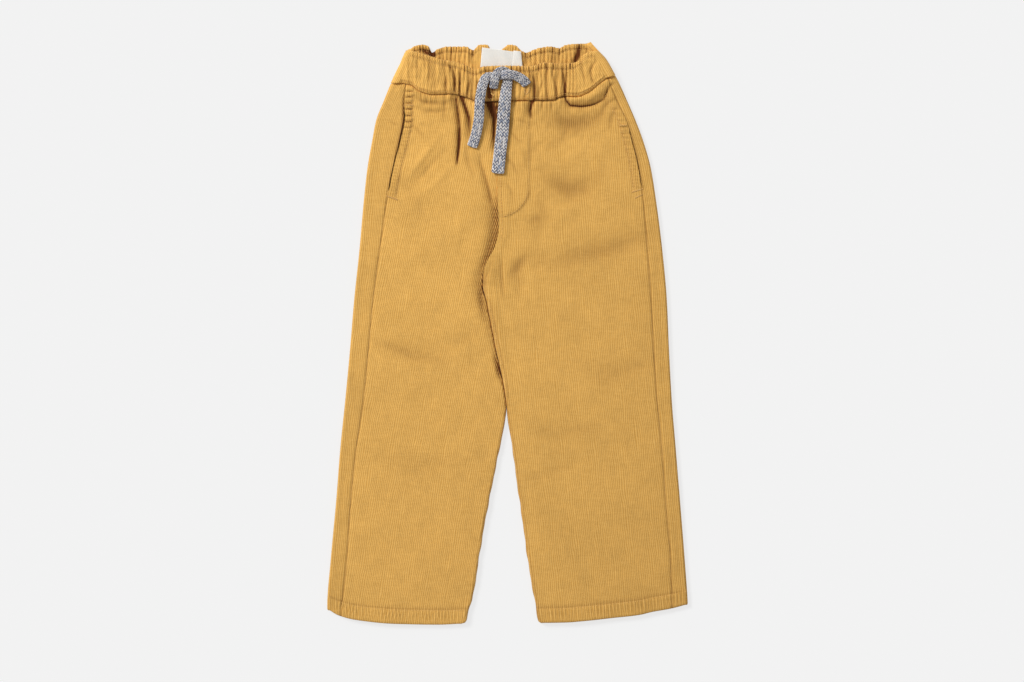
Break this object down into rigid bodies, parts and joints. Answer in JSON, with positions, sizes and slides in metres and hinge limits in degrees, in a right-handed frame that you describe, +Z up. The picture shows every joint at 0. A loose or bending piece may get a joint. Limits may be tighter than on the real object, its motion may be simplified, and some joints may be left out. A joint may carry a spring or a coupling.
{
  "type": "child's pull-on corduroy trousers",
  "caption": "Wide straight-leg pull-on corduroy trousers laid flat, front up, with a gathered elastic waist, drawcord, side-seam pockets and a mock fly.",
  "frame": {"origin": "on the surface it lies on, under the middle of the garment's outline", "axes": "+Z up out of the surface, the way the garment's front faces; +Y from the hems to the waist; +X towards the wearer's left"},
  "size_m": [0.3973, 0.6412, 0.0213],
  "materials": {
    "corduroy": "matte ribbed cotton pile",
    "corduroy_casing": "matte ribbed cotton pile, gathered",
    "braid": "matte knitted cotton braid, grey, blue and white",
    "label": "smooth woven satin"
  },
  "bodies": {
    "root": {"front_right": "corduroy", "front_left": "corduroy", "back_right": "corduroy", "back_left": "corduroy", "waistband_front": "corduroy_casing", "waistband_back": "corduroy_casing", "drawcord_right": "braid", "drawcord_left": "braid", "neck_label": "label", "size_tab": "label"}
  },
  "joints": []
}
